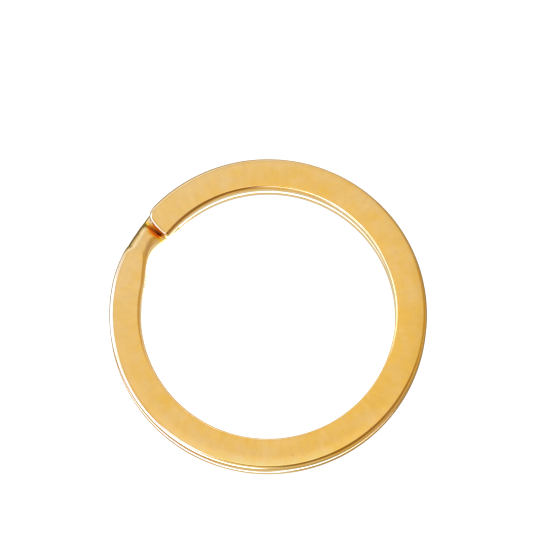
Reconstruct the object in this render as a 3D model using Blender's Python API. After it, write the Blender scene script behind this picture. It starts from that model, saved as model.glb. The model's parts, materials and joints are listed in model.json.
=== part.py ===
"""Flat split key ring, 25 mm across, modelled in metres with +Z along its winding axis.

The ring is one spring wire coiled through two turns and pressed into a flat strip. The front
turn lies on the back turn. The crossover, which steps the wire down from one turn to the other,
escapes the press and stays nearly round. Each turn ends in a free end that springs away from
the other turn, so that a key can be slipped on.

A strip that bends is modelled as short rigid lengths with a hinge between each pair:

    front_free_end - front_flex_arc_1..5 - front_seated_arc - crossover
    back_free_end  - back_flex_arc_1..5  - back_seated_arc  - crossover

The origin is the ring's centre, half way up its height. Angles are in degrees, counter-clockwise
from +X seen from above. Half a turn about the radial line through the crossover's middle
carries the front turn onto the back turn, so every back piece shares its mesh with a front one.
"""

import math

import bmesh
import bpy
from mathutils import Matrix, Vector

# Driving dimensions, in metres
OUTER_RADIUS = 0.0125
STRIP_WIDTH = 0.0025
STRIP_HEIGHT = 0.0012
TURN_GAP = 0.00008
CUT_GAP = 0.00006
FACE_ROUND = 0.0002
MATING_ROUND = 0.0004

# Where the strip's zones begin and end, in degrees
CROSSOVER_MIDDLE = 151.2
CROSSOVER_HALF = 17.0
FREE_END_FROM_MIDDLE = 10.2
FLEX_ANGLE = 30.0
FLEX_COUNT = 5

# The free end's rounding: how far it reaches along the strip, and what it takes off each side
TIP_ROUND_LENGTH = 0.0003
TIP_ROUND_WIDTH = 0.00035
TIP_ROUND_HEIGHT = 0.0002
TIP_STEPS = 3

# The crossover's upper side slopes from its crest to its foot, in degrees up from the middle
CREST = 2.0
FOOT = -9.6
SLOPE_FILLET = 0.00015

# The wire's width in the middle of the crossover, and how far its outer side draws in
WIRE_WIDTH = 0.0019
OUTER_DRAW_IN = 0.00011

# Where the crossover's upper corners are fully round, and where they are a face's again
ROUND_UNTIL = 1.0
FACE_FROM = 10.0

# How finely curves are faceted
STEP_ANGLE = 5.0
CROSSOVER_STEPS = 26
CORNER_STEPS = 2
CROSSOVER_CORNER_STEPS = 4
SHARP_ANGLE = math.radians(35)

# Gold-coloured plating
GOLD = (0.84, 0.58, 0.25, 1.0)
FACE_ROUGHNESS = 0.3
CROSSOVER_ROUGHNESS = 0.2

MIDDLE_RADIUS = OUTER_RADIUS - STRIP_WIDTH / 2
TURN_HEIGHT = (STRIP_HEIGHT + TURN_GAP) / 2
FREE_END = CROSSOVER_MIDDLE - FREE_END_FROM_MIDDLE
CUT_ANGLE = math.degrees(CUT_GAP / MIDDLE_RADIUS)
FLEX_END = FREE_END - (FLEX_COUNT + 1) * FLEX_ANGLE
SEATED_ANGLE = FLEX_END + 360 - (CROSSOVER_MIDDLE + CROSSOVER_HALF)


def clear_scene():
    for obj in list(bpy.data.objects):
        bpy.data.objects.remove(obj, do_unlink=True)


def make_collection(name):
    collection = bpy.data.collections.new(name)
    bpy.context.scene.collection.children.link(collection)
    return collection


def turn_about_z(angle):
    return Matrix.Rotation(math.radians(angle), 4, "Z")


def half_turn_to_back():
    """The half turn that carries the front turn onto the back turn."""
    middle = math.radians(CROSSOVER_MIDDLE)
    axis = Vector((math.cos(middle), math.sin(middle), 0))
    return Matrix.Rotation(math.pi, 4, axis)


def place_on_front(angle):
    """Where a piece of the front turn goes whose own +X end starts at this angle."""
    return turn_about_z(angle) @ Matrix.Translation((MIDDLE_RADIUS, 0, TURN_HEIGHT))


def corner_points(x, z, radius, start_angle, steps):
    """A quarter round whose centre lies one radius in from the corner x, z of the section."""
    centre_x = x - math.copysign(radius, x)
    centre_z = z - math.copysign(radius, z)
    points = []
    for step in range(steps + 1):
        angle = math.radians(start_angle + 90 * step / steps)
        points.append((centre_x + radius * math.cos(angle), centre_z + radius * math.sin(angle)))
    return points


def section_points(width, height, upper_round, lower_round, steps):
    """The strip's rounded section about its own middle: x points outwards and z up."""
    x = width / 2
    z = height / 2
    return (
        corner_points(x, z, upper_round, 0, steps)
        + corner_points(-x, z, upper_round, 90, steps)
        + corner_points(-x, -z, lower_round, 180, steps)
        + corner_points(x, -z, lower_round, 270, steps)
    )


def place_along(angle):
    """Carries the section at a piece's own origin to this angle along the piece."""
    centre = Matrix.Translation((-MIDDLE_RADIUS, 0, 0))
    return centre @ turn_about_z(angle) @ centre.inverted()


def first_face(items):
    return next(item for item in items if isinstance(item, bmesh.types.BMFace))


def section_face(bm):
    """The front turn's section, as a face across the strip half a cut into the piece."""
    outline = section_points(
        STRIP_WIDTH, STRIP_HEIGHT, FACE_ROUND, MATING_ROUND, CORNER_STEPS
    )
    place = place_along(CUT_ANGLE / 2)
    return bm.faces.new([bm.verts.new(place @ Vector((x, 0, z))) for x, z in outline])


def spin_face(bm, face, angle):
    """Sweeps the face about the ring's axis and returns the face at the sweep's end."""
    swept = bmesh.ops.spin(
        bm,
        geom=[face, *face.edges, *face.verts],
        cent=(-MIDDLE_RADIUS, 0, 0),
        axis=(0, 0, 1),
        angle=math.radians(angle),
        steps=max(1, round(angle / STEP_ANGLE)),
    )
    return first_face(swept["geom_last"])


def tip_step(step):
    """How far forward a step of the tip's rounding is, in degrees, and its size."""
    bend = math.radians(90 * step / TIP_STEPS)
    drawn_in = 2 * (1 - math.cos(bend))
    forward = math.degrees(TIP_ROUND_LENGTH * math.sin(bend) / MIDDLE_RADIUS)
    width = STRIP_WIDTH - TIP_ROUND_WIDTH * drawn_in
    height = STRIP_HEIGHT - TIP_ROUND_HEIGHT * drawn_in
    return forward, width, height


def round_tip(bm, face, angle):
    """Draws the end face forwards in shrinking steps, which rounds all of its edges."""
    for step in range(TIP_STEPS):
        forward, width, height = tip_step(step)
        next_forward, next_width, next_height = tip_step(step + 1)
        grown = bmesh.ops.extrude_face_region(bm, geom=[face])["geom"]
        bmesh.ops.delete(bm, geom=[face], context="FACES_ONLY")
        face = first_face(grown)
        back_to_origin = place_along(angle + forward).inverted()
        shrink = Matrix.Diagonal((next_width / width, 1, next_height / height, 1))
        advance = place_along(angle + next_forward) @ shrink @ back_to_origin
        bmesh.ops.transform(bm, matrix=advance, verts=face.verts)


def finish_mesh(bm, name):
    bmesh.ops.recalc_face_normals(bm, faces=bm.faces)
    mesh = bpy.data.meshes.new(name)
    bm.to_mesh(mesh)
    bm.free()
    mesh.shade_smooth()
    mesh.set_sharp_from_angle(angle=SHARP_ANGLE)
    mesh.materials.append(None)
    return mesh


def arc_mesh(name, angle):
    """A length of strip through this angle, less half a cut at each end."""
    bm = bmesh.new()
    spin_face(bm, section_face(bm), angle - CUT_ANGLE)
    return finish_mesh(bm, name)


def free_end_mesh(name):
    """A flex angle of strip that ends in a rounded tip."""
    bm = bmesh.new()
    round_starts = FLEX_ANGLE - math.degrees(TIP_ROUND_LENGTH / MIDDLE_RADIUS)
    face = spin_face(bm, section_face(bm), round_starts - CUT_ANGLE / 2)
    round_tip(bm, face, round_starts)
    return finish_mesh(bm, name)


def blend(start, end, share):
    return start + (end - start) * share


def smooth_step(value):
    value = min(1.0, max(0.0, value))
    return value * value * (3 - 2 * value)


def soft_limit(value, low, high):
    """The value held between two limits, with a fillet where it meets each of them."""
    below = max(0.0, SLOPE_FILLET - abs(value - low))
    above = max(0.0, SLOPE_FILLET - abs(value - high))
    held = min(high, max(low, value))
    return held + (below * below - above * above) / (4 * SLOPE_FILLET)


def upper_side(offset):
    """Height of the wire's upper side, this many degrees up the slope from the middle."""
    low = -TURN_GAP / 2
    high = TURN_GAP / 2 + STRIP_HEIGHT
    slope = blend(low, high, (offset - FOOT) / (CREST - FOOT))
    return soft_limit(slope, low, high)


def upper_round(offset, full_round):
    """Radius of the wire's upper corners: a mating corner, the round wire, then a face's."""
    if offset < ROUND_UNTIL:
        share = smooth_step((ROUND_UNTIL - offset) / (ROUND_UNTIL - FOOT))
        return blend(full_round, MATING_ROUND, share)
    left = max(0.0, (FACE_FROM - offset) / (FACE_FROM - ROUND_UNTIL))
    return blend(FACE_ROUND, full_round, left**3)


def crossover_section(offset):
    """One section of the crossover, this many degrees up the slope from its middle."""
    top = upper_side(offset)
    bottom = -upper_side(-offset)
    narrow = smooth_step(1 - abs(offset) / CROSSOVER_HALF)
    width = blend(STRIP_WIDTH, WIRE_WIDTH, narrow)
    full_round = 0.99 * min(width, top - bottom) / 2
    upper = upper_round(offset, full_round)
    lower = upper_round(-offset, full_round)
    outline = section_points(width, top - bottom, upper, lower, CROSSOVER_CORNER_STEPS)
    radius = OUTER_RADIUS - OUTER_DRAW_IN * narrow - width / 2
    angle = math.radians(CROSSOVER_MIDDLE + offset)
    return [
        (
            (radius + x) * math.cos(angle),
            (radius + x) * math.sin(angle),
            (top + bottom) / 2 + z,
        )
        for x, z in outline
    ]


def crossover_mesh(name):
    """A loft down the step, from the front turn's section to the back turn's."""
    reach = CROSSOVER_HALF - CUT_ANGLE / 2
    bm = bmesh.new()
    rings = []
    for step in range(CROSSOVER_STEPS + 1):
        points = crossover_section(reach * (1 - 2 * step / CROSSOVER_STEPS))
        rings.append([bm.verts.new(point) for point in points])
    for ring, following in zip(rings, rings[1:]):
        for index, vert in enumerate(ring):
            bm.faces.new((vert, ring[index - 1], following[index - 1], following[index]))
    bm.faces.new(rings[0])
    bm.faces.new(reversed(rings[-1]))
    return finish_mesh(bm, name)


def gold_plate(name, roughness):
    material = bpy.data.materials.new(name)
    material.use_nodes = True
    shader = material.node_tree.nodes["Principled BSDF"]
    shader.inputs["Base Color"].default_value = GOLD
    shader.inputs["Metallic"].default_value = 1.0
    shader.inputs["Roughness"].default_value = roughness
    return material


def add_piece(collection, name, mesh, place, parent=None, roughness=FACE_ROUGHNESS):
    """One piece with its origin at place, which for a moving piece is its hinge's pivot."""
    obj = bpy.data.objects.new(name, mesh)
    collection.objects.link(obj)
    obj.material_slots[0].link = "OBJECT"
    obj.material_slots[0].material = gold_plate(name + "_gold", roughness)
    obj.matrix_basis = place
    if parent:
        obj.parent = parent
        bpy.context.view_layer.update()
        obj.matrix_parent_inverse = parent.matrix_world.inverted()
    return obj


def add_turn(collection, side, to_side, meshes, crossover):
    """The seated arc, the flex arcs and the free end of one turn, each hung on the last."""
    place = to_side @ place_on_front(CROSSOVER_MIDDLE + CROSSOVER_HALF)
    parent = add_piece(collection, side + "_seated_arc", meshes["seated"], place, crossover)
    for number in range(FLEX_COUNT, 0, -1):
        place = to_side @ place_on_front(FREE_END - (number + 1) * FLEX_ANGLE)
        name = f"{side}_flex_arc_{number}"
        parent = add_piece(collection, name, meshes["flex"], place, parent)
    place = to_side @ place_on_front(FREE_END - FLEX_ANGLE)
    add_piece(collection, side + "_free_end", meshes["free_end"], place, parent)


def build_key_ring():
    clear_scene()
    collection = make_collection("split_key_ring")
    meshes = {
        "seated": arc_mesh("seated_arc", SEATED_ANGLE),
        "flex": arc_mesh("flex_arc", FLEX_ANGLE),
        "free_end": free_end_mesh("free_end"),
    }
    crossover = add_piece(
        collection,
        "crossover",
        crossover_mesh("crossover"),
        Matrix.Identity(4),
        roughness=CROSSOVER_ROUGHNESS,
    )
    add_turn(collection, "front", Matrix.Identity(4), meshes, crossover)
    add_turn(collection, "back", half_turn_to_back(), meshes, crossover)


build_key_ring()
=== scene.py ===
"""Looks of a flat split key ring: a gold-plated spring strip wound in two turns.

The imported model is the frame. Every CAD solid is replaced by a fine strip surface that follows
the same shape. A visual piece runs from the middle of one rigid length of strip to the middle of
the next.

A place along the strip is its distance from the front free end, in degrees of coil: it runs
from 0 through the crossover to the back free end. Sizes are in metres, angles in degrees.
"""

import json
import math

import bpy
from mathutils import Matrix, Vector

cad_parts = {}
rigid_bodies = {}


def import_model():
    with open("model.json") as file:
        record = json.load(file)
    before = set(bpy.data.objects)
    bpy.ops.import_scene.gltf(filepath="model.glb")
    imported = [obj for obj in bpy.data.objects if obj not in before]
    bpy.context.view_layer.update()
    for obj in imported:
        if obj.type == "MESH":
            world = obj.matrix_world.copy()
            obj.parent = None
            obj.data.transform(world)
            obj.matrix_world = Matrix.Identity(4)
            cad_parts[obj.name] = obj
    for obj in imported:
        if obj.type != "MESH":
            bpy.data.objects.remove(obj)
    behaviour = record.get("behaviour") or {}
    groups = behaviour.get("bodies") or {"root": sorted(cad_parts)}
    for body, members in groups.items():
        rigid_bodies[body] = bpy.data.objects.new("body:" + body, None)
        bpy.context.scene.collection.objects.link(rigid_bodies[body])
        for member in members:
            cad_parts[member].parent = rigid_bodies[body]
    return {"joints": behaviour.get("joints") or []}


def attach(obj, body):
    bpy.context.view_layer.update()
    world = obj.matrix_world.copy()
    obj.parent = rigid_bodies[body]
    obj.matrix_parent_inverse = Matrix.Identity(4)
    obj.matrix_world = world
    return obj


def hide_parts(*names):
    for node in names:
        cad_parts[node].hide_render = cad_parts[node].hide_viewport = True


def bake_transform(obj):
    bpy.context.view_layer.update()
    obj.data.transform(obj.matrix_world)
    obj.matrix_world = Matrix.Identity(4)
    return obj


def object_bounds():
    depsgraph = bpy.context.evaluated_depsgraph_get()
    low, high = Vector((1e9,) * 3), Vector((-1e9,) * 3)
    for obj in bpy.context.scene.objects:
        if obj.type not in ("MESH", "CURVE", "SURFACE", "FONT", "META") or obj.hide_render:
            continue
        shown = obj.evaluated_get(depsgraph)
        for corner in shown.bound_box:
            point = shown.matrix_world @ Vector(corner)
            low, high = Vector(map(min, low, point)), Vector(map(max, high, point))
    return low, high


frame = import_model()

LOW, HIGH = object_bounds()

JOINTS = {joint["name"]: joint for joint in frame["joints"]}
FLEX_COUNT = 5


def joint_angle(name):
    x, y, _ = JOINTS[name]["pos_m"]
    return math.degrees(math.atan2(y, x))


# Sizes read from the frame
MIDDLE_RADIUS = math.hypot(*JOINTS["front_open"]["pos_m"][:2])
TURN_HEIGHT = JOINTS["front_open"]["pos_m"][2]
OUTER_RADIUS = (HIGH.x - LOW.x) / 2
STRIP_WIDTH = 2 * (OUTER_RADIUS - MIDDLE_RADIUS)
STRIP_HEIGHT = 2 * (HIGH.z - TURN_HEIGHT)
TURN_GAP = 2 * TURN_HEIGHT - STRIP_HEIGHT
FLEX_ANGLE = joint_angle("front_bend_1") - joint_angle("front_bend_2")
FRONT_TIP = joint_angle("front_bend_1") + FLEX_ANGLE
BACK_TIP = joint_angle("back_bend_1") - FLEX_ANGLE + 360
CROSSOVER_MIDDLE = (FRONT_TIP + BACK_TIP) / 2
HALF_SPAN = FRONT_TIP - CROSSOVER_MIDDLE + 360
MM = 1000

# The strip's section. The rounds on the face side grow and shrink round the ring, and each is
# largest at its PEAK azimuth. The mating side's rounds stay the same.
OUTER_ROUND = 0.00036
OUTER_ROUND_VARIES = 0.00002
OUTER_ROUND_PEAK = 120
INNER_ROUND = 0.00029
INNER_ROUND_VARIES = 0.00008
INNER_ROUND_PEAK = 140
MATING_ROUND = 0.0004
LEAST_ROUND = 0.00002
CROWN = 0.00003
CROWN_POWER = 4

# The crossover's upper side, in degrees up the slope from its middle: it falls gently from the
# crest to the knee and steeply on to the foot, and below the knee the wire turns flat
CROSSOVER_HALF = 17.0
CREST = 2.0
KNEE = -7.0
KNEE_HEIGHT = 0.0005
FOOT = -9.2
FLAT_FROM = -13.5
SLOPE_FILLET = 0.00015
WIRE_WIDTH = 0.0019
WIRE_ROUNDNESS = 0.995
OUTER_DRAW_IN = 0.00011

# The pressed face ends in a tongue on the round wire, off the middle, with a crease round it
TONGUE = 1.2
TONGUE_INBOARD = 0.0002
TONGUE_SHIFT_LENGTH = 6.0
TONGUE_OUTER_END = 6.4
TONGUE_OUTER_POWER = 2
TONGUE_INNER_END = 8.5
TONGUE_INNER_POWER = 2.6
CREASE = 13.0
CREASE_RISE = 1.5
CREASE_FALL = 12.0

# The free ends: rounding of the end's edges, and the end's line across the strip
TIP_LENGTH = 0.00032
TIP_INSET = 0.00024
TIP_RINGS = 8
TIP_AHEAD = 0.00014
TIP_SLANT = 0.19
TIP_BOW = 60.0
TIP_CORNER = 0.00066
TIP_CORNER_SWEEP = 0.98
TIP_FADE = 0.003

# Fineness: degrees between the strip's stations, and stations in each degree of the crossover
STATION_STEP = 0.5
CROSSOVER_STEPS = 4
CORNER_STEPS = 8
FLAT_SHARES = (0.04, 0.14, 0.3, 0.5, 0.7, 0.86, 0.96)
SIDE_SHARES = (0.2, 0.8)


def mix(start, end, share):
    return start + (end - start) * share


def smooth_step(value):
    value = min(1.0, max(0.0, value))
    return value * value * (3 - 2 * value)


# ---------------------------------------------------------------- the strip's section


def soft_min(first, second):
    """The lesser of two values, with a fillet where they meet."""
    overlap = max(0.0, SLOPE_FILLET - abs(first - second))
    return min(first, second) - overlap * overlap / (4 * SLOPE_FILLET)


def upper_side(offset):
    """Height of the strip's upper side, this many degrees up the slope from the middle."""
    low = -TURN_GAP / 2
    high = TURN_GAP / 2 + STRIP_HEIGHT
    gentle = mix(KNEE_HEIGHT, high, (offset - KNEE) / (CREST - KNEE))
    steep = mix(low, KNEE_HEIGHT, (offset - FOOT) / (KNEE - FOOT))
    slope = soft_min(gentle, steep)
    return soft_min(-soft_min(-slope, -low), high)


def upper_corners(offset, angle, full_round):
    """Reach of the outer and inner upper corners, and the crease where they meet the face."""
    if offset < TONGUE:
        share = smooth_step((KNEE - offset) / (KNEE - FLAT_FROM))
        shift = TONGUE_INBOARD * smooth_step(1 - (TONGUE - offset) / TONGUE_SHIFT_LENGTH)
        reach = mix(full_round, MATING_ROUND, share)
        return reach + shift, reach - shift, 0.0
    outer_end = OUTER_ROUND + OUTER_ROUND_VARIES * math.cos(math.radians(angle - OUTER_ROUND_PEAK))
    inner_end = INNER_ROUND + INNER_ROUND_VARIES * math.cos(math.radians(angle - INNER_ROUND_PEAK))
    outer_left = max(0.0, (TONGUE_OUTER_END - offset) / (TONGUE_OUTER_END - TONGUE))
    inner_left = max(0.0, (TONGUE_INNER_END - offset) / (TONGUE_INNER_END - TONGUE))
    outer = mix(outer_end, full_round + TONGUE_INBOARD, outer_left**TONGUE_OUTER_POWER)
    inner = mix(inner_end, full_round - TONGUE_INBOARD, inner_left**TONGUE_INNER_POWER)
    rise = smooth_step((offset - TONGUE) / CREASE_RISE)
    fall = smooth_step((CROSSOVER_HALF - offset) / CREASE_FALL)
    return outer, inner, CREASE * rise * fall


def corner_arc(reach, drop, crease):
    """An elliptic corner, from side to face: distances in from the side and below the face."""
    last = math.radians(90 - crease)
    long = reach / (1 - math.cos(last))
    tall = drop / math.sin(last)
    points = []
    for step in range(CORNER_STEPS + 1):
        angle = last * step / CORNER_STEPS
        points.append((long * (1 - math.cos(angle)), drop - tall * math.sin(angle)))
    return points


def half_outline(outer, inner, top, middle, corners, full_drop):
    """Upper half of the outline, from the outer side over the top to the inner side."""
    reach_outer, reach_inner, crease = corners
    points = []
    for inwards, below in corner_arc(reach_outer, min(reach_outer, full_drop), crease):
        points.append((outer - inwards, top - below))
    for share in FLAT_SHARES:
        points.append((mix(outer - reach_outer, inner + reach_inner, share), top))
    for inwards, below in reversed(corner_arc(reach_inner, min(reach_inner, full_drop), crease)):
        points.append((inner + inwards, top - below))
    half_width = (outer - inner) / 2
    centre = (outer + inner) / 2
    crowned = []
    for x, z in points:
        bow = CROWN * ((x - centre) / half_width) ** CROWN_POWER * (z - middle) / (top - middle)
        crowned.append((x, z - bow))
    return crowned


def section(offset, angle, inset):
    """The strip's outline at an offset up the slope: radius and height of each point."""
    narrow = smooth_step(1 - abs(offset) / CROSSOVER_HALF)
    outer = OUTER_RADIUS - OUTER_DRAW_IN * narrow
    inner = outer - mix(STRIP_WIDTH, WIRE_WIDTH, narrow)
    top = upper_side(offset)
    bottom = -upper_side(-offset)
    full = WIRE_ROUNDNESS * min(outer - inner, top - bottom) / 2
    upper = shrink(upper_corners(offset, angle, full), inset)
    lower = shrink(upper_corners(-offset, angle, full), inset)
    outer -= inset
    inner += inset
    top -= inset
    bottom += inset
    middle = (top + bottom) / 2
    above = half_outline(outer, inner, top, middle, upper, full - inset)
    below = half_outline(outer, inner, -bottom, -middle, lower, full - inset)
    below = [(x, -z) for x, z in reversed(below)]
    return above + side(above[-1], below[0]) + below + side(below[-1], above[0])


def shrink(corners, inset):
    """The corners of an outline that is drawn in all round by the inset."""
    outer, inner, crease = corners
    return max(outer - inset, LEAST_ROUND), max(inner - inset, LEAST_ROUND), crease


def side(start, end):
    """The points between two corners on one side of the strip."""
    return [(mix(start[0], end[0], share), mix(start[1], end[1], share)) for share in SIDE_SHARES]


# ---------------------------------------------------------------- the strip in space


def tip_forward(outwards):
    """How far the free end's line lies ahead at a distance outwards from the strip's middle."""
    past = max(0.0, outwards - STRIP_WIDTH / 2 + TIP_CORNER)
    past = min(past, TIP_CORNER * TIP_CORNER_SWEEP)
    rounded = TIP_CORNER - math.sqrt(TIP_CORNER**2 - past**2)
    return TIP_AHEAD - TIP_SLANT * outwards - TIP_BOW * outwards**2 - rounded


def ring_points(place, inset=0.0):
    """The section's points in space, at this place along the strip."""
    unwound = FRONT_TIP - place
    offset = HALF_SPAN - place
    from_tip = min(place, 2 * HALF_SPAN - place)
    fade = smooth_step(1 - math.radians(from_tip) * MIDDLE_RADIUS / TIP_FADE)
    ahead = 1 if place < HALF_SPAN else -1
    points = []
    for radius, height in section(offset, unwound, inset):
        forward = ahead * fade * tip_forward(radius - MIDDLE_RADIUS)
        angle = math.radians(unwound) + forward / MIDDLE_RADIUS
        points.append(Vector((radius * math.cos(angle), radius * math.sin(angle), height)))
    return points


def tip_stations():
    """Places and insets that round a free end's edges."""
    stations = []
    for index in range(TIP_RINGS + 1):
        bend = math.radians(90 * index / TIP_RINGS)
        back = TIP_LENGTH * (1 - math.sin(bend))
        stations.append((math.degrees(back / MIDDLE_RADIUS), TIP_INSET * (1 - math.cos(bend))))
    return list(reversed(stations))


def front_stations():
    """Places from the front free end to the middle of the crossover."""
    crossover_start = HALF_SPAN - CROSSOVER_HALF
    stations = tip_stations()
    first = math.floor(stations[-1][0] / STATION_STEP) + 1
    last = math.ceil(crossover_start / STATION_STEP)
    stations += [(step * STATION_STEP, 0.0) for step in range(first, last)]
    steps = round(CROSSOVER_HALF * CROSSOVER_STEPS)
    for step in range(steps + 1):
        stations.append((mix(crossover_start, HALF_SPAN, step / steps), 0.0))
    return stations


def strip_surface():
    """Stations of the whole strip, with their rings of points and true normals."""
    front = front_stations()
    back = [(2 * HALF_SPAN - place, inset) for place, inset in reversed(front[:-1])]
    stations = front + back
    rings = [ring_points(*station) for station in stations]
    count = len(rings[0])
    last = len(rings) - 1
    normals = []
    for index, ring in enumerate(rings):
        ahead = rings[max(0, index - 1)]
        behind = rings[min(last, index + 1)]
        around = [ring[(spot + 1) % count] - ring[spot - 1] for spot in range(count)]
        along = [behind[spot] - ahead[spot] for spot in range(count)]
        normals.append([a.cross(b).normalized() for a, b in zip(around, along)])
    return stations, rings, normals


# ---------------------------------------------------------------- meshes


def station_index(stations, place):
    return min(range(len(stations)), key=lambda index: abs(stations[index][0] - place))


def strip_faces(ring_count, spot_count):
    """The faces along the strip, and then one that closes each end."""
    faces = []
    end_ring = (ring_count - 1) * spot_count
    for near in range(0, end_ring, spot_count):
        far = near + spot_count
        for spot in range(spot_count):
            after = (spot + 1) % spot_count
            faces.append((near + spot, near + after, far + after, far + spot))
    faces.append(tuple(reversed(range(spot_count))))
    faces.append(tuple(range(end_ring, end_ring + spot_count)))
    return faces


def make_piece(name, surface, start, end, material):
    """A closed length of strip between two places, with its true normals and its attributes."""
    stations, rings, normals = surface
    length = slice(station_index(stations, start), station_index(stations, end) + 1)
    count = len(rings[0])
    verts = [point for ring in rings[length] for point in ring]
    vert_normals = [normal for ring in normals[length] for normal in ring]
    mesh = bpy.data.meshes.new(name)
    mesh.from_pydata(verts, [], strip_faces(len(rings[length]), count))
    mesh.shade_smooth()
    set_normals(mesh, vert_normals)
    add_strip_coordinates(mesh, stations[length], verts, count)
    add_tilts(mesh, vert_normals)
    mesh.materials.append(material)
    obj = bpy.data.objects.new(name, mesh)
    bpy.context.scene.collection.objects.link(obj)
    return obj


def set_normals(mesh, normals):
    """The surface's own normals on its sides, and flat ones on the two end faces."""
    loop_normals = []
    ends = len(mesh.polygons) - 2
    for polygon in mesh.polygons:
        flat = polygon.normal.copy()
        for loop in polygon.loop_indices:
            smooth = normals[mesh.loops[loop].vertex_index]
            loop_normals.append(flat if polygon.index >= ends else smooth)
    mesh.normals_split_custom_set(loop_normals)


def add_strip_coordinates(mesh, stations, verts, count):
    """Each point's place on the strip, in millimetres: along it, outwards and up."""
    places = mesh.attributes.new("strip", "FLOAT_VECTOR", "POINT")
    values = []
    for index, point in enumerate(verts):
        along = math.radians(stations[index // count][0]) * MIDDLE_RADIUS
        outwards = math.hypot(point.x, point.y) - MIDDLE_RADIUS
        values.extend((along * MM, outwards * MM, point.z * MM))
    places.data.foreach_set("vector", values)


def add_tilts(mesh, normals):
    """How far each point's normal leans from the ring's axis, in degrees."""
    tilts = mesh.attributes.new("tilt", "FLOAT", "POINT")
    tilts.data.foreach_set("value", [math.degrees(math.acos(min(1, abs(n.z)))) for n in normals])


# ---------------------------------------------------------------- node helpers


class Nodes:
    """A node tree with short calls for the nodes used here."""

    def __init__(self, tree):
        self.tree = tree

    def add(self, kind, **settings):
        node = self.tree.nodes.new(kind)
        for key, value in settings.items():
            setattr(node, key, value)
        return node

    def link(self, source, target):
        """Links a socket to an input, or gives the input a plain value."""
        if isinstance(source, bpy.types.NodeSocket):
            self.tree.links.new(source, target)
        else:
            target.default_value = source

    def math(self, operation, first, second=0.0, clamp=False):
        node = self.add("ShaderNodeMath", operation=operation, use_clamp=clamp)
        self.link(first, node.inputs[0])
        self.link(second, node.inputs[1])
        return node.outputs[0]

    def scaled(self, value, factor, offset=0.0):
        """The value times a factor, plus an offset."""
        node = self.add("ShaderNodeMath", operation="MULTIPLY_ADD")
        self.link(value, node.inputs[0])
        node.inputs[1].default_value = factor
        node.inputs[2].default_value = offset
        return node.outputs[0]

    def vector(self, operation, first, second=(0, 0, 0)):
        node = self.add("ShaderNodeVectorMath", operation=operation)
        self.link(first, node.inputs[0])
        self.link(second, node.inputs[1])
        return node.outputs["Value" if operation in ("DOT_PRODUCT", "LENGTH") else "Vector"]

    def scaled_vector(self, vector, factor):
        node = self.add("ShaderNodeVectorMath", operation="SCALE")
        self.link(vector, node.inputs[0])
        self.link(factor, node.inputs["Scale"])
        return node.outputs["Vector"]

    def ramp(self, value, low, high, start=0.0, end=1.0):
        """A smooth step from start, where the value is at low, to end, where it is at high. It
        falls where low is the greater of the two."""
        node = self.add("ShaderNodeMapRange", interpolation_type="SMOOTHSTEP")
        self.link(value, node.inputs[0])
        for index, number in enumerate((low, high, start, end)):
            self.link(number, node.inputs[index + 1])
        return node.outputs[0]

    def blend(self, share, first, second):
        """Two colours mixed. The Mix node's colour sockets have no names of their own."""
        node = self.add("ShaderNodeMix", data_type="RGBA")
        self.link(share, node.inputs["Factor"])
        self.link(first, node.inputs[6])
        self.link(second, node.inputs[7])
        return node.outputs[2]

    def blend_value(self, share, first, second):
        node = self.add("ShaderNodeMix", data_type="FLOAT")
        self.link(share, node.inputs[0])
        self.link(first, node.inputs[2])
        self.link(second, node.inputs[3])
        return node.outputs[0]

    def noise(self, position, scale, detail, roughness=0.5):
        node = self.add("ShaderNodeTexNoise")
        self.link(position, node.inputs["Vector"])
        node.inputs["Scale"].default_value = scale
        node.inputs["Detail"].default_value = detail
        node.inputs["Roughness"].default_value = roughness
        return node.outputs["Fac"]

    def ripple(self, position, scale, detail, roughness=0.5):
        """Noise that swings about 0."""
        return self.math("SUBTRACT", self.noise(position, scale, detail, roughness), 0.5)

    def finish(self, surface):
        self.link(surface, self.tree.nodes["Material Output"].inputs["Surface"])


def new_material(name):
    material = bpy.data.materials.new(name)
    material.use_nodes = True
    return material, Nodes(material.node_tree)


# ---------------------------------------------------------------- gold plating

WARM_GOLD = (0.91, 0.55, 0.125, 1)
PALE_GOLD = (0.93, 0.635, 0.285, 1)
# Painted reflection in the crevice: red-orange and deep yellow, as light bounced between gold walls
PAINTED_CREVICE_RED = (0.98, 0.24, 0.02, 1)
PAINTED_CREVICE_RED_METALLIC = 0.35
PAINTED_CREVICE_YELLOW = (1.0, 0.62, 0.07, 1)

# The gold's tone is 0 for warm gold and 1 for pale gold. It swings round the ring in waves
# (towards which azimuth, how many and how strong) and, as painted shading, at the outer rim in
# lobes (towards which azimuth, how sharp and how strong). The face's painted sheen has lobes of
# the same kind.
TONE_MIDDLE = 0.5
TONE_WAVES = ((155, 1, 0.24), (30, 3, 0.1))
# Painted shading: the outer rim paler towards azimuths 85 and 268, warmer towards 340
PAINTED_RIM_TONE = ((85, 4, 0.3), (268, 5, 0.3), (340, 5, -0.15))
INNER_TONE = -0.15
# Painted sheen: the rim lighter towards azimuth 278, darker towards 355; the inner part lighter
PAINTED_RIM_SHEEN = ((278, 5, 0.22), (355, 4, -0.08))
PAINTED_INNER_SHEEN = 0.03
PAINTED_INNER_SHEEN_VARIES = 0.015

# Pits, in millimetres, and the share of them that are only specks
PITS_PER_MM = 1.1
PIT_SPECKS = 0.6
PIT_LARGEST = 0.05
PIT_EDGE = 0.025

# The crevice: degrees past the crossover's middle, and its painted red-orange reflection's half
# length, half width, slant, curve and shift off the strip's middle
CREVICE = 7.55
CREVICE_LENGTH = 0.17
CREVICE_WIDTH = 0.72
CREVICE_SLANT = 0.2
CREVICE_CURVE = 0.1
CREVICE_SHIFT = -0.08

# Roughness of the flat face and of the rounds, and how much streaks show
SATIN = 0.27
PRESSED_ROUNDS = 0.09
PRESSED_STREAKS = 0.03
WIRE_ROUNDS = 0.18
WIRE_STREAKS = 0.2

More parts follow.
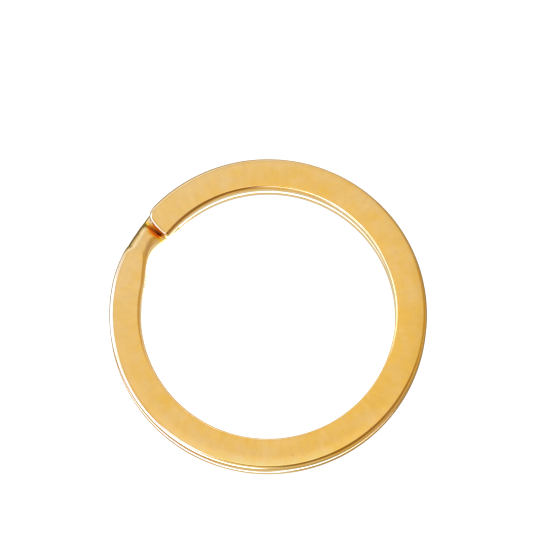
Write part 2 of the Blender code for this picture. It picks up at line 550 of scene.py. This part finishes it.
# How much brighter or darker the other marks of the plating are
MARK_LIGHT = {"drift": 0.12, "hair": 0.05, "pit": -0.45}
BUMP_DEPTH = 0.000003


def strip_place(nodes):
    """Where a point lies on the strip, in millimetres: one vector, and its parts along the strip,
    outwards and up."""
    strip = nodes.add("ShaderNodeAttribute", attribute_name="strip").outputs["Vector"]
    split = nodes.add("ShaderNodeSeparateXYZ")
    nodes.link(strip, split.inputs[0])
    return strip, split.outputs


def round_ring(nodes, along, towards, waves=1):
    """1 towards one side of the ring and -1 away from it, or in several waves round it."""
    turned = nodes.math("DIVIDE", along, -MIDDLE_RADIUS * MM)
    turned = nodes.math("ADD", turned, math.radians(FRONT_TIP - towards))
    return nodes.math("COSINE", nodes.math("MULTIPLY", turned, waves))


def lobes(nodes, along, table):
    """The sum of several lobes, each 1 towards one side of the ring and falling to 0 round it."""
    total = 0.0
    for towards, sharpness, weight in table:
        half = nodes.scaled(round_ring(nodes, along, towards), 0.5, 0.5)
        lobe = nodes.math("POWER", half, sharpness)
        total = nodes.math("ADD", total, nodes.scaled(lobe, weight))
    return total


def tone_with_painted_rim_shade(nodes, along, outer, inner):
    """0 for the warmest gold and 1 for the palest, as it lies round the ring, with painted rim
    shading.
    """
    tone = TONE_MIDDLE
    for towards, waves, weight in TONE_WAVES:
        wave = round_ring(nodes, along, towards, waves)
        tone = nodes.math("ADD", tone, nodes.scaled(wave, weight))
    rim = nodes.math("MULTIPLY", outer, lobes(nodes, along, PAINTED_RIM_TONE))
    tone = nodes.math("ADD", tone, rim)
    return nodes.math("ADD", tone, nodes.scaled(inner, INNER_TONE))


def painted_sheen(nodes, along, outer, inner):
    """How bright the face is across the strip: painted sheen, with the rim painted lighter on one
    side.
    """
    rim = nodes.math("MULTIPLY", outer, lobes(nodes, along, PAINTED_RIM_SHEEN))
    inner_sheen = nodes.scaled(round_ring(nodes, along, 0), PAINTED_INNER_SHEEN_VARIES, PAINTED_INNER_SHEEN)
    light = nodes.math("ADD", rim, nodes.math("MULTIPLY", inner, inner_sheen))
    return nodes.math("ADD", light, 1.0)


def pits(nodes, strip):
    """Pits in the plating: 1 in a few small dots of different sizes, else 0."""
    cells = nodes.add("ShaderNodeTexVoronoi")
    nodes.link(strip, cells.inputs["Vector"])
    cells.inputs["Scale"].default_value = PITS_PER_MM
    chance = nodes.add("ShaderNodeSeparateXYZ")
    nodes.link(cells.outputs["Color"], chance.inputs[0])
    size = nodes.ramp(chance.outputs[0], PIT_SPECKS, 1.0, 0.0, PIT_LARGEST)
    edge = nodes.math("ADD", size, PIT_EDGE)
    return nodes.ramp(cells.outputs["Distance"], edge, size)


def hairs(nodes, strip):
    """Hair lines that run roughly along the strip, in some patches of it."""
    stretched = nodes.vector("MULTIPLY", strip, (0.16, 1.3, 1.3))
    distance = nodes.math("ABSOLUTE", nodes.ripple(stretched, 1.7, 2.0))
    line = nodes.ramp(distance, 0.006, 0.0)
    patchy = nodes.ramp(nodes.noise(strip, 0.9, 1.0), 0.5, 0.62)
    return nodes.math("MULTIPLY", line, patchy)


def plating_marks(nodes, strip):
    """The plating's marks, by name: drifts lie across the strip and streaks along it."""
    crosswise = nodes.vector("MULTIPLY", strip, (1.6, 0.5, 0.5))
    lengthwise = nodes.vector("MULTIPLY", strip, (0.12, 3.5, 3.5))
    return {
        "cloud": nodes.ripple(strip, 0.5, 2.0),
        "mottle": nodes.ripple(strip, 1.3, 1.0),
        "drift": nodes.ripple(crosswise, 1.5, 1.0),
        "streak": nodes.ripple(lengthwise, 1.6, 4.0, 0.6),
        "hair": hairs(nodes, strip),
        "pit": pits(nodes, strip),
    }


def plating_colour(nodes, along, outwards, marks, streaks):
    """The gold's colour: its tone round the ring, painted shading and sheen, and its marks."""
    outer = nodes.ramp(outwards, 0.05, 0.95)
    inner = nodes.ramp(outwards, -0.05, -0.95)
    tone = tone_with_painted_rim_shade(nodes, along, outer, inner)
    tone = nodes.math("ADD", tone, marks["cloud"])
    tone = nodes.math("ADD", tone, marks["mottle"], clamp=True)
    # Painted sheen on the face, then the marks
    light = painted_sheen(nodes, along, outer, inner)
    for mark, weight in (MARK_LIGHT | {"streak": streaks}).items():
        light = nodes.math("ADD", light, nodes.scaled(marks[mark], weight))
    return nodes.scaled_vector(nodes.blend(tone, WARM_GOLD, PALE_GOLD), light)


def crevice_distance(nodes, along, outwards):
    """0 in the crevice's middle at the slope's foot, and 1 at the border of its painted reflection.
    """
    slope_place = math.radians(HALF_SPAN + CREVICE) * MIDDLE_RADIUS * MM
    lean = nodes.scaled(outwards, CREVICE_CURVE, CREVICE_SLANT)
    curved = nodes.math("MULTIPLY", outwards, lean)
    past = nodes.math("SUBTRACT", along, nodes.math("ADD", curved, slope_place))
    across = nodes.math("POWER", nodes.scaled(past, 1 / CREVICE_LENGTH), 2.0)
    inboard = nodes.scaled(outwards, 1 / CREVICE_WIDTH, CREVICE_SHIFT)
    return nodes.math("ADD", across, nodes.math("POWER", inboard, 2.0))


def plating_roughness(nodes, marks, face_roughness, round_roughness):
    """Satin on the flat face, more polished where the surface tilts, and dull in the pits."""
    tilt = nodes.add("ShaderNodeAttribute", attribute_name="tilt").outputs["Fac"]
    face = nodes.scaled(marks["mottle"], 0.12, face_roughness)
    rough = nodes.blend_value(nodes.ramp(tilt, 4.0, 12.0), face, round_roughness)
    return nodes.math("ADD", rough, nodes.scaled(marks["pit"], 0.2))


def plating_bump(nodes, marks):
    """The slight waviness of the plating, and its pits."""
    height = nodes.math("ADD", marks["drift"], nodes.scaled(marks["mottle"], 0.6))
    height = nodes.math("SUBTRACT", height, nodes.scaled(marks["pit"], 2.0))
    bump = nodes.add("ShaderNodeBump")
    bump.inputs["Strength"].default_value = 1.0
    bump.inputs["Distance"].default_value = BUMP_DEPTH
    nodes.link(height, bump.inputs["Height"])
    return bump.outputs[0]


def gold_material(name, face_roughness, round_roughness, streaks):
    """Gold plating, with painted reflection in the crevice: deep yellow round it, red-orange in it.
    """
    material, nodes = new_material(name)
    shader = nodes.tree.nodes["Principled BSDF"].inputs
    strip, (along, outwards, _) = strip_place(nodes)
    marks = plating_marks(nodes, strip)
    distance = crevice_distance(nodes, along, outwards)
    # Painted reflection: deep yellow round the crevice and red-orange in it
    painted_yellow = nodes.ramp(distance, 4.0, 1.4)
    painted_red = nodes.ramp(distance, 1.15, 0.75)
    colour = plating_colour(nodes, along, outwards, marks, streaks)
    colour = nodes.blend(painted_red, nodes.blend(painted_yellow, colour, PAINTED_CREVICE_YELLOW), PAINTED_CREVICE_RED)
    rough = plating_roughness(nodes, marks, face_roughness, round_roughness)
    nodes.link(colour, shader["Base Color"])
    nodes.link(nodes.blend_value(painted_red, 1.0, PAINTED_CREVICE_RED_METALLIC), shader["Metallic"])
    nodes.link(rough, shader["Roughness"])
    nodes.link(plating_bump(nodes, marks), shader["Normal"])
    return material


# ---------------------------------------------------------------- build


# The share of a hinge's arc that sets the reach worked out for its piece of strip
BEND_SHARE = 0.8


def add_springs(surface, side_name, place_of, material):
    """The spring pieces, each between the rigid lengths on either side of its hinge."""
    bodies = [side_name + "_free_end"]
    bodies += [f"{side_name}_flex_arc_{number}" for number in range(1, FLEX_COUNT + 1)]
    bodies += ["seated_coil"]
    sense = 1 if side_name == "front" else -1
    for number in range(1, FLEX_COUNT + 2):
        hinge = number * FLEX_ANGLE
        ends = sorted((place_of(hinge - FLEX_ANGLE / 2), place_of(hinge + FLEX_ANGLE / 2)))
        piece = make_piece(f"{side_name}_spring_{number}", surface, *ends, material)
        last = number == FLEX_COUNT + 1
        joint = JOINTS[side_name + "_open" if last else f"{side_name}_bend_{number}"]
        pivot = Vector(joint["pos_m"])
        reach = pivot.cross(Vector((0, 0, -sense))).normalized()
        reach *= MIDDLE_RADIUS * math.radians(FLEX_ANGLE * BEND_SHARE / 2)
        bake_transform(piece)
        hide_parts(bodies[number - 1])


def add_turn(surface, side_name, material):
    """One turn of pressed strip: its tip, its springs and the length that stays seated."""

    def place_of(from_tip):
        return from_tip if side_name == "front" else 2 * HALF_SPAN - from_tip

    tip_ends = sorted((place_of(0), place_of(FLEX_ANGLE / 2)))
    tip = make_piece(side_name + "_tip", surface, *tip_ends, material)
    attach(tip, side_name + "_free_end")
    add_springs(surface, side_name, place_of, material)
    seat_start = place_of((FLEX_COUNT + 1.5) * FLEX_ANGLE)
    seat_end = place_of(HALF_SPAN - CROSSOVER_HALF)
    seat = make_piece(side_name + "_seat", surface, *sorted((seat_start, seat_end)), material)
    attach(seat, "seated_coil")
    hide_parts(side_name + "_seated_arc")


def add_crossover(surface, material):
    """The unpressed wire that steps from the front turn down to the back turn."""
    ends = (HALF_SPAN - CROSSOVER_HALF, HALF_SPAN + CROSSOVER_HALF)
    wire = make_piece("crossover_wire", surface, *ends, material)
    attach(wire, "seated_coil")
    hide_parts("crossover")


def build_ring():
    surface = strip_surface()
    pressed = gold_material("pressed_gold", SATIN, PRESSED_ROUNDS, PRESSED_STREAKS)
    unpressed = gold_material("unpressed_gold", SATIN, WIRE_ROUNDS, WIRE_STREAKS)
    for side_name in ("front", "back"):
        add_turn(surface, side_name, pressed)
    add_crossover(surface, unpressed)


build_ring()

# ---------------------------------------------------------------- studio


def direction(azimuth, elevation):
    flat = math.cos(math.radians(elevation))
    return Vector((
        flat * math.cos(math.radians(azimuth)),
        flat * math.sin(math.radians(azimuth)),
        math.sin(math.radians(elevation)),
    ))


# Soft patches of light and shade round the ring, as the metal sees them, painted in order:
# azimuth, elevation, where the patch starts to fade and where it ends, and its radiance.
# Azimuth 270 is the camera's side. Bluish white makes gold shine white.
PATCHES = (
    (90, 40, 30, 60, (0.8, 0.77, 0.7)),  # the far side's wall
    (90, -5, 12, 28, (0.9, 1.05, 1.5)),
    (130, 12, 15, 35, (1.0, 1.1, 1.3)),
    (164, 42, 8, 18, (1.3, 1.8, 4.2)),  # windows on the left: white lines on the left rim
    (180, 6, 24, 33, (1.35, 2.15, 4.6)),
    (215, 0, 20, 28, (1.4, 2.1, 5.8)),
    (232, 47, 7, 14, (1.4, 2.1, 5.0)),
    (50, 45, 18, 45, (0.88, 0.82, 0.66)),  # the shaded right side
    (35, 0, 15, 35, (0.5, 0.42, 0.28)),
    (0, 38, 18, 34, (0.6, 0.47, 0.23)),
    (318, 42, 22, 34, (0.38, 0.25, 0.1)),  # darkest at the near right: the dark rim there
    (290, 48, 23, 29, (0.3, 0.18, 0.07)),
    (318, 0, 10, 30, (0.4, 0.3, 0.17)),
    (280, 0, 12, 22, (0.72, 0.6, 0.4)),  # the camera's side
    (256, 36, 12, 19, (0.84, 0.74, 0.5)),
    (272, 81, 6, 12, (1.25, 1.22, 1.0)),  # overhead: the bright line beside the near rim
    (90, 80, 10, 22, (0.915, 0.895, 0.765)),  # overhead: what the flat face reflects
)
ROOM = (0.8, 0.74, 0.66)
BOUNCED_MOST = (0.9, 0.9, 0.9)

# The ray depth of the metal's first reflection, where it meets the room and where a band
ROOM_DEPTH = 2
BAND_DEPTH = 1


def studio_world():
    """The room that the metal reflects, white to the camera and dimmed where metal sees metal."""
    world = bpy.data.worlds.new("studio")
    bpy.context.scene.world = world
    world.use_nodes = True
    nodes = Nodes(world.node_tree)
    sight = nodes.add("ShaderNodeTexCoord").outputs["Generated"]
    colour = (*ROOM, 1)
    for azimuth, elevation, inner, outer, radiance in PATCHES:
        facing = nodes.vector("DOT_PRODUCT", sight, direction(azimuth, elevation))
        share = nodes.ramp(facing, math.cos(math.radians(outer)), math.cos(math.radians(inner)))
        colour = nodes.blend(share, colour, (*radiance, 1))
    path = nodes.add("ShaderNodeLightPath").outputs
    dimmed = nodes.vector("MINIMUM", colour, BOUNCED_MOST)
    bounced = nodes.math("GREATER_THAN", path["Ray Depth"], ROOM_DEPTH + 0.5)
    colour = nodes.blend(bounced, colour, dimmed)
    colour = nodes.blend(path["Is Camera Ray"], colour, (1, 1, 1, 1))
    nodes.link(colour, world.node_tree.nodes["Background"].inputs["Color"])


# Painted shadows and painted light on the floor, as the metal sees them: the ring's shadow and
# its gold reflection near it, and white farther out. They are painted in order: towards which
# azimuth, where the shade starts, where it is full and where it ends, and its radiance
FLOOR_SHADES = (
    (270, 0.007, 0.0125, 0.03, (0.68, 0.58, 0.38)),  # gold mirrored on the near side
    (205, 0.016, 0.0178, 0.06, (1.4, 2.1, 5.8)),  # white farther out on the left
    (322, 0.0085, 0.0118, 0.03, (0.4, 0.32, 0.19)),  # dark at the near right
    (308, 0.0128, 0.0145, 0.04, (0.62, 0.5, 0.3)),
    (212, 0.009, 0.0115, 0.015, (0.56, 0.4, 0.16)),  # brown at the near left
    (166, 0.0122, 0.0134, 0.0155, (0.36, 0.27, 0.08)),  # dark lines on the left
    (40, 0.0115, 0.013, 0.022, (0.36, 0.29, 0.17)),  # dark lines on the far side
    (90, 0.0125, 0.0135, 0.03, (0.62, 0.56, 0.42)),
    (134, 0.0122, 0.0134, 0.0172, (0.22, 0.19, 0.09)),
    (150, 0.0088, 0.0097, 0.0106, (2.2, 2.2, 2.2)),  # white beside the crossover's inner side
)
SHADE_FADE = 0.0008
FLOOR_SIZE = 4
FLOOR_TONE = (0.74, 0.77, 0.78, 1)
FLOOR_AS_SEEN = (1.2, 1.2, 1.2, 1)


def floor_material():
    """A glowing floor: plain white to the camera, and pale with painted shadows and light to the
    metal.
    """
    material, nodes = new_material("floor_white")
    position = nodes.add("ShaderNodeNewGeometry").outputs["Position"]
    radius = nodes.vector("LENGTH", position)
    tone = FLOOR_TONE
    for azimuth, start, full, end, radiance in FLOOR_SHADES:
        outwards = nodes.vector("DOT_PRODUCT", position, direction(azimuth, 0))
        share = nodes.ramp(outwards, start, full)
        share = nodes.math("MULTIPLY", share, nodes.ramp(radius, end + SHADE_FADE, end))
        tone = nodes.blend(share, tone, (*radiance, 1))
    camera_ray = nodes.add("ShaderNodeLightPath").outputs["Is Camera Ray"]
    glow = nodes.add("ShaderNodeEmission")
    nodes.link(nodes.blend(camera_ray, tone, FLOOR_AS_SEEN), glow.inputs["Color"])
    nodes.finish(glow.outputs[0])
    return material


def white_floor():
    bpy.ops.mesh.primitive_plane_add(size=FLOOR_SIZE, location=(0, 0, LOW.z))
    floor = bpy.context.object
    floor.name = "floor"
    floor.data.materials.append(floor_material())


# Bands of light close to the ring that draw the fine white lines along its edges
BAND_LIGHT = (1.5, 2.2, 6.0, 1)
BAND_FLOOR = LOW.z + 0.00001
BAND_FACETS = 128


def pieces_of(side_name):
    """A collection of one turn's pieces, for the lights that only that turn catches."""
    pieces = bpy.data.collections.new(side_name + "_turn")
    for obj in bpy.data.objects:
        if obj.name.startswith(side_name) and obj.type == "MESH" and "strip" in obj.data.attributes:
            pieces.objects.link(obj)
    return pieces


def band_glow(name, towards, full, none):
    """A see-through glow that only the metal's first reflection catches. It is at its full
    strength within some degrees of an azimuth, and fades out to none farther round."""
    material, nodes = new_material(name)
    depth = nodes.add("ShaderNodeLightPath").outputs["Ray Depth"]
    strength = nodes.math("LESS_THAN", depth, BAND_DEPTH + 0.5)
    if full < 180:
        position = nodes.add("ShaderNodeNewGeometry").outputs["Position"]
        outwards = nodes.vector("NORMALIZE", position)
        facing = nodes.vector("DOT_PRODUCT", outwards, direction(towards, 0))
        fade = nodes.ramp(facing, math.cos(math.radians(none)), math.cos(math.radians(full)))
        strength = nodes.math("MULTIPLY", strength, fade)
    clear = nodes.add("ShaderNodeBsdfTransparent")
    glow = nodes.add("ShaderNodeEmission")
    glow.inputs["Color"].default_value = BAND_LIGHT
    nodes.link(strength, glow.inputs["Strength"])
    both = nodes.add("ShaderNodeAddShader")
    nodes.link(clear.outputs[0], both.inputs[0])
    nodes.link(glow.outputs[0], both.inputs[1])
    nodes.finish(both.outputs[0])
    return material


def light_band(name, start, end, receivers, towards=0, full=180, none=180):
    """A band of light round the ring, from one radius and height to another."""
    bpy.ops.mesh.primitive_cone_add(
        vertices=BAND_FACETS, radius1=start[0], radius2=end[0], depth=end[1] - start[1],
        end_fill_type="NOTHING", location=(0, 0, (start[1] + end[1]) / 2),
    )
    light = bpy.context.object
    light.name = name
    light.data.materials.append(band_glow(name, towards, full, none))
    light.visible_camera = False
    light.visible_shadow = False
    light.light_linking.receiver_collection = receivers


def studio_bands():
    front = pieces_of("front")
    back = pieces_of("back")
    light_band("east_band", (0.0155, BAND_FLOOR), (0.0155, 0.0008), back, 322, 40, 54)
    light_band("west_band", (0.0134, BAND_FLOOR), (0.0157, LOW.z + 0.00008), back, 228, 40, 53)
    light_band("inner_band", (0.007, BAND_FLOOR), (0.007, 0.0008), back)
    light_band("low_west_band", (0.0155, 0.0004), (0.0155, 0.0018), front, 240, 21.5, 32)
    light_band("eye_band", (0.0074, 0.0038), (0.0074, 0.0056), front, 64, 37, 45.5)


studio_world()
white_floor()
studio_bands()

# ---------------------------------------------------------------- camera

# The camera looks down on the ring from its near side, and the ring's middle lies a little
# below and to the right of the picture's
ELEVATION = math.radians(77.7)
FRAME_SIZE = 533
PIXELS_PER_METRE = 12700
DISTANCE = 0.5
SENSOR_WIDTH = 36
AIM_RIGHT = -0.00013
AIM_UP = 0.00391


def add_camera():
    data = bpy.data.cameras.new("camera")
    data.sensor_width = SENSOR_WIDTH
    data.lens = SENSOR_WIDTH * DISTANCE / (FRAME_SIZE / PIXELS_PER_METRE)
    data.clip_start = 0.01
    camera = bpy.data.objects.new("camera", data)
    bpy.context.scene.collection.objects.link(camera)
    bpy.context.scene.camera = camera
    up = Vector((0, math.sin(ELEVATION), math.cos(ELEVATION)))
    back = Vector((0, -math.cos(ELEVATION), math.sin(ELEVATION)))
    camera.location = up * AIM_UP + Vector((AIM_RIGHT, 0, 0)) + back * DISTANCE
    camera.rotation_euler = (math.pi / 2 - ELEVATION, 0, 0)


add_camera()
bpy.context.scene.view_settings.view_transform = "Standard"
bpy.context.scene.cycles.glossy_bounces = 12
